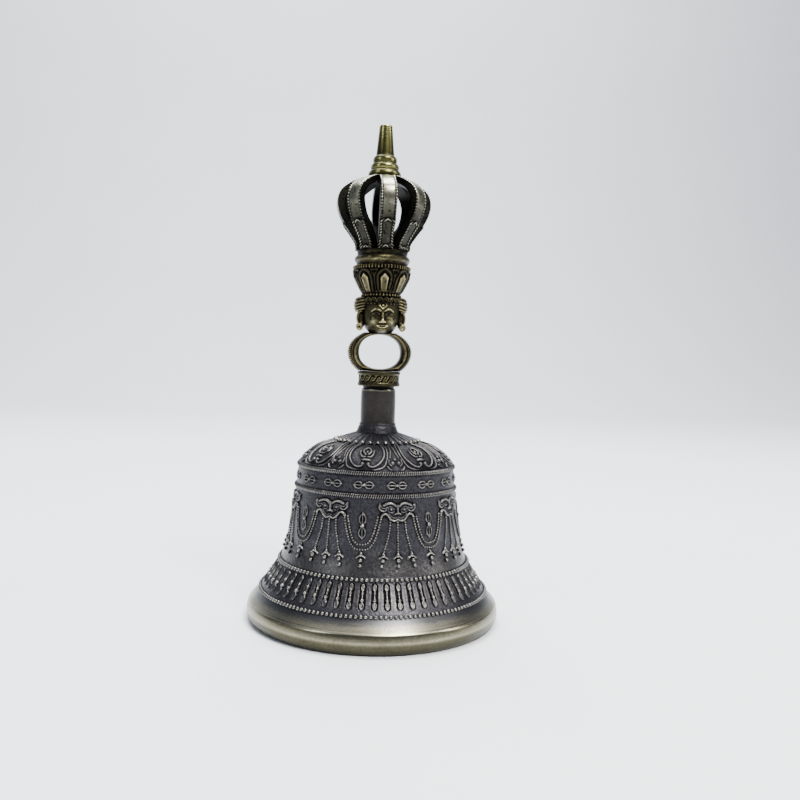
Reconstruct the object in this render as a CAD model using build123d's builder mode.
"""Tibetan hand bell: a cast bell, a brass handle with a finger ring, head and lotus crown, a nine-pronged
half-vajra on top, and a clapper that swings inside on two linked loops.

Units are millimetres. +Z runs up the axis, -Y is the side that the face on the handle looks to, and the
origin is the centre of the mouth, in the plane that the rim stands on.
"""

import os

from build123d import *

# ---------------- driving dimensions
TOTAL_HEIGHT = 185.4

# bell
MOUTH_RADIUS = 47.55  # widest point of the lip
RIM_OUTER = 45.7  # flat ring that the bell stands on
RIM_INNER = 42.0
LIP_TOP = (42.4, 12.3)  # radius and height where the lip ends in a row of beads
WAIST_FOOT = (35.2, 23.2)  # radius and height where the flare starts
SHOULDER = (28.9, 59.3)
CEILING_Z = 67.0  # flat ceiling inside the bell
BOSS_TOP_Z = 74.0  # boss that carries the neck sleeve
BOSS_RADIUS = 6.9

# fastening
STUD_RADIUS = 3.0
STUD_BOTTOM_Z = 61.8
STUD_TOP_Z = 92.4
WASHER_RADIUS = 7.5
WASHER_THICKNESS = 1.2
FIT = 0.05  # radial play of a shaft in its hole

# handle
SLEEVE_RADIUS = 6.6
SLEEVE_BORE = 5.3
SLEEVE_TOP_Z = 87.0
COLLAR_RADIUS = 8.0
COLLAR_BOTTOM_Z = 87.8
COLLAR_TOP_Z = 93.4
SPIGOT_BOTTOM_Z = 82.0
RING_DEPTH = 7.2
RING_HALF_WIDTH = 12.3
HOLE_HALF_WIDTH = 8.0
HOLE_BOTTOM_Z = 94.3
HOLE_TOP_Z = 107.2
HEAD_BOTTOM_Z = 108.1
HEAD_TOP_Z = 122.6
CROWN_TOP_Z = 133.0
CROWN_RADIUS = 10.9
PETAL_COUNT = 8

# half-vajra
SEAT_FLOOR_Z = 138.7
SEAT_TOP_Z = 139.9
PRONG_COUNT = 8
PRONG_WIDTH = 5.9
PRONG_TOP_Z = 165.8
CAGE_RADIUS = 17.4
CENTRE_PRONG_SIDE = 3.6
PEG_RADIUS = 2.6
PEG_LENGTH = 4.0
TIP_PEG_RADIUS = 1.3

# clapper and its two loops
EYE_WIRE = 1.4  # wire radius of the eye under the nut
EYE_RADIUS = 4.3
LINK_WIRE = 1.1
CLAPPER_WIRE = 1.3
CLAPPER_EYE_RADIUS = 3.6
LOOP_PLAY = 0.4  # gap between two loops that hang in each other
NUT_BOTTOM_Z = 60.8
SWING_Z = 51.4  # the link turns about the bottom of the nut's eye
SWAY_Z = 43.8  # the clapper turns about the bottom of the link
BULB_Z = 8.5
BULB_RADIUS = 6.5
ROD_RADIUS = 2.0

stud_hole = STUD_RADIUS + FIT
os.makedirs("parts", exist_ok=True)

# ---------------- bell, with its boss, ridges, waist and lip
BOSS_FOOT = [(7.8, 70.7), (8.2, 70.3)]
DOME_EDGE = (15.9, 67.4)  # the raised disc round the boss ends here
DOME_START = (16.2, 66.9)
UPPER_RIDGE = [(29.3, 58.8), (30.2, 58.1), (29.35, 57.4)]
LOWER_RIDGE = [(29.9, 51.1), (31.1, 50.3), (30.2, 49.5)]
LIP_RIDGE = (46.85, 7.3)
INNER_WAIST = (27.6, 50.0)
INNER_SHOULDER = [INNER_WAIST, (26.0, 57.0), (20.5, 63.4), (11.0, CEILING_Z)]
INNER_WALL = [(RIM_INNER, 0), (40.6, 6.0), (36.4, 15.6), (32.2, 24.6), (29.6, 36.0), INNER_WAIST]

with BuildPart() as bell_shell:
    with BuildSketch(Plane.XZ):
        with BuildLine():
            # boss, foot moulding and dome
            Polyline((stud_hole, BOSS_TOP_Z), (BOSS_RADIUS, BOSS_TOP_Z), *BOSS_FOOT, DOME_EDGE, DOME_START)
            Spline(DOME_START, (21.2, 65.4), (25.6, 62.6), SHOULDER)
            # shoulder ridge, plain band and lower ridge
            Line(SHOULDER, UPPER_RIDGE[0])
            ThreePointArc(*UPPER_RIDGE)
            Line(UPPER_RIDGE[-1], LOWER_RIDGE[0])
            ThreePointArc(*LOWER_RIDGE)
            # waist, flare and lip
            Spline(LOWER_RIDGE[-1], (31.2, 41.5), (32.9, 30.5), WAIST_FOOT)
            Spline(WAIST_FOOT, (37.2, 20.0), (39.6, 16.4), LIP_TOP)
            Spline(LIP_TOP, (44.7, 9.5), LIP_RIDGE)
            Line(LIP_RIDGE, (MOUTH_RADIUS, 4.4))
            Spline((MOUTH_RADIUS, 4.4), (47.1, 1.9), (RIM_OUTER, 0))
            # rim, inside and stud hole
            Line((RIM_OUTER, 0), (RIM_INNER, 0))
            Spline(*INNER_WALL)
            Spline(*INNER_SHOULDER)
            Polyline(INNER_SHOULDER[-1], (stud_hole, CEILING_Z), (stud_hole, BOSS_TOP_Z))
        make_face()
    revolve(axis=Axis.Z)
bell_shell.part.label = "bell_shell"
export_step(bell_shell.part, "parts/bell_shell.step")

# ---------------- neck sleeve between the boss and the handle
with BuildPart() as neck_sleeve:
    with BuildSketch(Plane.XY.offset(BOSS_TOP_Z)):
        Circle(SLEEVE_RADIUS)
        Circle(SLEEVE_BORE, mode=Mode.SUBTRACT)
    extrude(amount=SLEEVE_TOP_Z - BOSS_TOP_Z)
    top_rims = neck_sleeve.edges().filter_by(GeomType.CIRCLE).group_by(Axis.Z)[-1]
    chamfer(top_rims.sort_by(SortBy.RADIUS)[-1], length=0.5)
neck_sleeve.part.label = "neck_sleeve"
export_step(neck_sleeve.part, "parts/neck_sleeve.step")

# ---------------- stud and washer that hold the handle down
with BuildPart() as tang_stud:
    with BuildSketch(Plane.XY.offset(STUD_BOTTOM_Z)):
        Circle(STUD_RADIUS)
    extrude(amount=STUD_TOP_Z - STUD_BOTTOM_Z)
    chamfer(tang_stud.edges().filter_by(GeomType.CIRCLE), length=0.6)
tang_stud.part.label = "tang_stud"
export_step(tang_stud.part, "parts/tang_stud.step")

with BuildPart() as crown_washer:
    with BuildSketch(Plane.XY.offset(CEILING_Z)):
        Circle(WASHER_RADIUS)
        Circle(stud_hole, mode=Mode.SUBTRACT)
    extrude(amount=-WASHER_THICKNESS)
crown_washer.part.label = "crown_washer"
export_step(crown_washer.part, "parts/crown_washer.step")

# ---------------- collar: a waisted band on a spigot in the sleeve
with BuildPart() as handle_collar:
    with BuildSketch(Plane.XZ):
        with BuildLine():
            Polyline(
                (0, COLLAR_TOP_Z),
                (COLLAR_RADIUS, COLLAR_TOP_Z),
                (COLLAR_RADIUS + 0.2, COLLAR_TOP_Z - 0.5),
                (COLLAR_RADIUS + 0.2, COLLAR_TOP_Z - 1.2),
            )
            ThreePointArc(
                (COLLAR_RADIUS + 0.2, COLLAR_TOP_Z - 1.2),
                (COLLAR_RADIUS - 0.3, (COLLAR_TOP_Z + COLLAR_BOTTOM_Z) / 2),
                (COLLAR_RADIUS, COLLAR_BOTTOM_Z + 1.2),
            )
            Polyline(
                (COLLAR_RADIUS, COLLAR_BOTTOM_Z + 1.2),
                (COLLAR_RADIUS, COLLAR_BOTTOM_Z + 0.4),
                (COLLAR_RADIUS - 0.3, COLLAR_BOTTOM_Z),
                (SLEEVE_RADIUS - 0.5, COLLAR_BOTTOM_Z),
                (SLEEVE_RADIUS - 0.5, SLEEVE_TOP_Z),
                (SLEEVE_BORE - FIT, SLEEVE_TOP_Z),
                (SLEEVE_BORE - FIT, SPIGOT_BOTTOM_Z),
                (stud_hole, SPIGOT_BOTTOM_Z),
                (stud_hole, STUD_TOP_Z + 0.1),
                (0, STUD_TOP_Z + 0.1),
                (0, COLLAR_TOP_Z),
            )
        make_face()
    revolve(axis=Axis.Z)
handle_collar.part.label = "handle_collar"
export_step(handle_collar.part, "parts/handle_collar.step")

# ---------------- finger ring: two bowed arms round an arched hole
hole_middle_z = (HOLE_BOTTOM_Z + HOLE_TOP_Z) / 2
ring_side = [(COLLAR_RADIUS, COLLAR_TOP_Z), (RING_HALF_WIDTH, 100.0), (8.8, HEAD_BOTTOM_Z)]

with BuildPart() as finger_ring:
    with BuildSketch(Plane.XZ):
        with BuildLine():
            ThreePointArc(*ring_side)
            Polyline(ring_side[-1], (0, HEAD_BOTTOM_Z), (0, COLLAR_TOP_Z), ring_side[0])
        make_face()
        mirror(about=Plane.YZ)
        with Locations((0, hole_middle_z)):
            RectangleRounded(2 * HOLE_HALF_WIDTH, HOLE_TOP_Z - HOLE_BOTTOM_Z, 5.6, mode=Mode.SUBTRACT)
    extrude(amount=RING_DEPTH / 2, both=True)
    arm_edges = finger_ring.edges().filter_by(GeomType.CIRCLE).filter_by(lambda edge: edge.radius > 6)
    arm_edges = arm_edges.group_by(Axis.Y)
    chamfer(arm_edges[0] + arm_edges[-1], length=1.1)
finger_ring.part.label = "finger_ring"
export_step(finger_ring.part, "parts/finger_ring.step")

# ---------------- head: face, long ears and stacked side hair
CHIN_POINTS = [(4.6, HEAD_BOTTOM_Z), (6.4, 112.2), (7.1, 117.0), (6.6, HEAD_TOP_Z)]
HAIR_RIDGES = 5
HAIR_BOTTOM_Z = 113.2
HAIR_PITCH = 1.6
HAIR_X = 6.4
HAIR_RADIUS = 3.9
HAIR_GROOVE = 0.45
EAR_X = 7.1
EARRING_X = 8.1
EARRING_RADIUS = 1.75
EAR_THICKNESS = 2.6

with BuildPart() as head:
    with BuildSketch(Plane.XZ):
        with BuildLine():
            Spline(*CHIN_POINTS)
            Polyline(CHIN_POINTS[-1], (0, HEAD_TOP_Z), (0, HEAD_BOTTOM_Z), CHIN_POINTS[0])
        make_face()
    revolve(axis=Axis.Z)
    for side in (-1, 1):
        # a bunch of hair: a round core with a wider disc for each ridge
        with BuildSketch(Plane.XY.offset(HAIR_BOTTOM_Z)):
            with Locations((side * HAIR_X, 0)):
                Circle(HAIR_RADIUS - HAIR_GROOVE)
        extrude(amount=HAIR_RIDGES * HAIR_PITCH)
        for ridge in range(HAIR_RIDGES):
            with BuildSketch(Plane.XY.offset(HAIR_BOTTOM_Z + (ridge + 0.15) * HAIR_PITCH)):
                with Locations((side * HAIR_X, 0)):
                    Circle(HAIR_RADIUS)
            extrude(amount=0.7 * HAIR_PITCH)
        # long ear and its round earring
        with BuildSketch(Plane.XZ):
            with Locations((side * EAR_X, 112.2)):
                Rectangle(2.2, 4.4)
            with Locations((side * EARRING_X, HEAD_BOTTOM_Z + 2.3)):
                Circle(EARRING_RADIUS)
        extrude(amount=EAR_THICKNESS / 2, both=True)
head.part.label = "head"
export_step(head.part, "parts/head.step")

# ---------------- lotus crown: flared cup with pointed petals
CROWN_FOOT_RADIUS = 6.6
CROWN_WALL_TOP_Z = 131.2
petal_slope = Vector(9.6 - CROWN_FOOT_RADIUS, 0, CROWN_WALL_TOP_Z - HEAD_TOP_Z)

with BuildPart() as lotus_crown:
    with BuildSketch(Plane.XZ):
        with BuildLine():
            Spline((CROWN_FOOT_RADIUS, HEAD_TOP_Z), (8.2, 126.6), (9.9, CROWN_WALL_TOP_Z))
            Polyline(
                (9.9, CROWN_WALL_TOP_Z),
                (CROWN_RADIUS - 0.3, CROWN_WALL_TOP_Z),
                (CROWN_RADIUS, CROWN_TOP_Z - 1.2),
                (CROWN_RADIUS - 0.2, CROWN_TOP_Z),
                (0, CROWN_TOP_Z),
                (0, HEAD_TOP_Z),
                (CROWN_FOOT_RADIUS, HEAD_TOP_Z),
            )
        make_face()
    revolve(axis=Axis.Z)
    # one petal on each face of an eight-sided cup, its point under the top ring
    for turn in range(PETAL_COUNT):
        outward = Vector(petal_slope.Z, 0, -petal_slope.X).rotate(Axis.Z, turn * 360 / PETAL_COUNT)
        across = Vector(0, 1, 0).rotate(Axis.Z, turn * 360 / PETAL_COUNT)
        foot = Vector(CROWN_FOOT_RADIUS - 0.7, 0, HEAD_TOP_Z + 0.6).rotate(Axis.Z, turn * 360 / PETAL_COUNT)
        with BuildSketch(Plane(origin=foot, x_dir=across, z_dir=outward)):
            with BuildLine():
                Spline((1.5, 0), (3.1, 4.4), (2.8, 6.4), (0, 8.5))
                mirror(about=Plane.YZ)
                Line((-1.5, 0), (1.5, 0))
            make_face()
        extrude(amount=1.7)
    with Locations((0, 0, CROWN_TOP_Z)):
        Hole(PEG_RADIUS + FIT, depth=PEG_LENGTH + 0.1)
lotus_crown.part.label = "lotus_crown"
export_step(lotus_crown.part, "parts/lotus_crown.step")

# ---------------- moulded seat for the nine prongs
MOULDING = [(9.5, 137.0), (10.5, 135.5), (9.7, 134.2)]

with BuildPart() as prong_seat:
    with BuildSketch(Plane.XZ):
        with BuildLine():
            Polyline(
                (0, SEAT_TOP_Z),
                (6.2, SEAT_TOP_Z),
                (6.3, SEAT_FLOOR_Z),
                (9.4, SEAT_FLOOR_Z),
                MOULDING[0],
            )
            ThreePointArc(*MOULDING)
            Polyline(MOULDING[-1], (9.6, CROWN_TOP_Z), (0, CROWN_TOP_Z), (0, SEAT_TOP_Z))
        make_face()
    revolve(axis=Axis.Z)
    with BuildSketch(Plane.XY.offset(CROWN_TOP_Z)):
        Circle(PEG_RADIUS)
    extrude(amount=-PEG_LENGTH)
    with BuildSketch(Plane.XY.offset(SEAT_TOP_Z)):
        Rectangle(CENTRE_PRONG_SIDE + 2 * FIT, CENTRE_PRONG_SIDE + 2 * FIT)
    extrude(amount=-3.0, mode=Mode.SUBTRACT)
prong_seat.part.label = "prong_seat"
export_step(prong_seat.part, "parts/prong_seat.step")

# ---------------- centre prong, with a peg for the tip
with BuildPart() as centre_prong:
    with BuildSketch(Plane.XY.offset(SEAT_TOP_Z - 3.0)):
        Rectangle(CENTRE_PRONG_SIDE, CENTRE_PRONG_SIDE)
    with BuildSketch(Plane.XY.offset(PRONG_TOP_Z)):
        Rectangle(CENTRE_PRONG_SIDE - 0.8, CENTRE_PRONG_SIDE - 0.8)
    loft()
    with BuildSketch(Plane.XY.offset(PRONG_TOP_Z)):
        Circle(TIP_PEG_RADIUS)
    extrude(amount=3.0)
centre_prong.part.label = "centre_prong"
export_step(centre_prong.part, "parts/centre_prong.step")

# ---------------- eight outer prongs, each within its own eighth
PRONG_OUTSIDE = [
    (9.3, SEAT_FLOOR_Z),
    (9.9, 141.5),
    (12.5, 145.4),
    (15.7, 150.2),
    (CAGE_RADIUS, 155.4),
    (16.3, 159.7),
    (13.6, 162.6),
    (9.4, 164.8),
    (5.6, PRONG_TOP_Z),
]
PRONG_INSIDE = [
    (3.4, 164.6),
    (8.0, 162.9),
    (11.9, 160.8),
    (13.9, 158.3),
    (14.4, 155.2),
    (12.9, 150.8),
    (9.7, 146.8),
    (7.1, 142.6),
    (6.5, SEAT_FLOOR_Z),
]
PRONG_REACH = 20.0  # farther out than the cage
EIGHTH_HALF_ANGLE = 180 / PRONG_COUNT - 0.4

with BuildPart() as first_prong:
    with BuildSketch(Plane.XZ):
        with BuildLine():
            Spline(*PRONG_OUTSIDE)
            Polyline(PRONG_OUTSIDE[-1], (PRONG_INSIDE[0][0], PRONG_TOP_Z), PRONG_INSIDE[0])
            Spline(*PRONG_INSIDE)
            Line(PRONG_INSIDE[-1], PRONG_OUTSIDE[0])
        make_face()
    extrude(amount=PRONG_WIDTH / 2, both=True)
    with BuildSketch(Plane.XY.offset(SEAT_FLOOR_Z - 1)):
        with BuildLine():
            edge = PolarLine((0, 0), PRONG_REACH, EIGHTH_HALF_ANGLE)
            other = PolarLine((0, 0), PRONG_REACH, -EIGHTH_HALF_ANGLE)
            Line(edge @ 1, other @ 1)
        make_face()
    extrude(amount=PRONG_TOP_Z - SEAT_FLOOR_Z + 2, mode=Mode.INTERSECT)

for number in range(PRONG_COUNT):
    outer_prong = first_prong.part.rotate(Axis.Z, number * 360 / PRONG_COUNT - 90)
    outer_prong.label = f"outer_prong_{number + 1}"
    export_step(outer_prong, f"parts/outer_prong_{number + 1}.step")

# ---------------- stepped tip over the prongs
TIP_STEPS = [(6.0, PRONG_TOP_Z), (5.9, 168.4), (5.05, 169.2), (5.0, 171.3), (4.25, 172.0), (4.15, 174.2)]

with BuildPart() as finial_tip:
    with BuildSketch(Plane.XZ):
        with BuildLine():
            Polyline(
                *TIP_STEPS,
                (3.8, 174.8),
                (3.2, 174.9),
                (2.35, TOTAL_HEIGHT - 0.5),
                (1.9, TOTAL_HEIGHT),
                (0, TOTAL_HEIGHT),
                (0, PRONG_TOP_Z + 3.1),
                (TIP_PEG_RADIUS + FIT, PRONG_TOP_Z + 3.1),
                (TIP_PEG_RADIUS + FIT, PRONG_TOP_Z),
                TIP_STEPS[0],
            )
        make_face()
    revolve(axis=Axis.Z)
finial_tip.part.label = "finial_tip"
export_step(finial_tip.part, "parts/finial_tip.step")

# ---------------- nut with an eye, under the washer
with BuildPart() as eye_nut:
    with BuildSketch(Plane.XY.offset(NUT_BOTTOM_Z)):
        RegularPolygon(5.6, 6)
    extrude(amount=CEILING_Z - WASHER_THICKNESS - NUT_BOTTOM_Z)
    with BuildSketch(Plane.XY.offset(STUD_BOTTOM_Z - 0.1)):
        Circle(stud_hole)
    extrude(amount=CEILING_Z - STUD_BOTTOM_Z, mode=Mode.SUBTRACT)
    with Locations(Location((0, 0, SWING_Z + EYE_RADIUS), (90, 0, 0))):
        Torus(EYE_RADIUS, EYE_WIRE)
eye_nut.part.label = "eye_nut"
export_step(eye_nut.part, "parts/eye_nut.step")

# ---------------- oval link, at right angles to the eye
link_bend = EYE_WIRE + LOOP_PLAY + LINK_WIRE
lower_bend_z = SWAY_Z + link_bend

with BuildPart() as link_ring:
    with BuildLine(Plane.YZ) as link_path:
        CenterArc((0, SWING_Z), link_bend, 0, 180)
        Line((-link_bend, SWING_Z), (-link_bend, lower_bend_z))
        CenterArc((0, lower_bend_z), link_bend, 180, 180)
        Line((link_bend, lower_bend_z), (link_bend, SWING_Z))
    with BuildSketch(Plane.XY.offset(SWING_Z)):
        with Locations((0, link_bend)):
            Circle(LINK_WIRE)
    sweep(path=link_path.wires()[0])
link_ring.part.label = "link_ring"
export_step(link_ring.part, "parts/link_ring.step")

# ---------------- clapper: rod with an eye, and its bulb
clapper_eye_z = SWAY_Z + LINK_WIRE + LOOP_PLAY + CLAPPER_WIRE - CLAPPER_EYE_RADIUS
rod_top_z = clapper_eye_z - CLAPPER_EYE_RADIUS - 0.2
bulb_collar_z = BULB_Z + 7.5

with BuildPart() as clapper_rod:
    with Locations(Location((0, 0, clapper_eye_z), (90, 0, 0))):
        Torus(CLAPPER_EYE_RADIUS, CLAPPER_WIRE)
    with BuildSketch(Plane.XZ):
        with BuildLine():
            Polyline(
                (0, rod_top_z),
                (1.6, rod_top_z),
                (2.6, bulb_collar_z + 1.0),
                (ROD_RADIUS, bulb_collar_z),
                (ROD_RADIUS, BULB_Z - 4),
                (0, BULB_Z - 4),
                close=True,
            )
        make_face()
    revolve(axis=Axis.Z)
clapper_rod.part.label = "clapper_rod"
export_step(clapper_rod.part, "parts/clapper_rod.step")

with BuildPart() as clapper_bulb:
    with Locations((0, 0, BULB_Z)):
        Sphere(BULB_RADIUS)
    with BuildSketch(Plane.XY.offset(bulb_collar_z)):
        Circle(3.9)
    extrude(amount=-2.3)
    with Locations((0, 0, bulb_collar_z)):
        Hole(ROD_RADIUS + FIT, depth=11.6)
clapper_bulb.part.label = "clapper_bulb"
export_step(clapper_bulb.part, "parts/clapper_bulb.step")
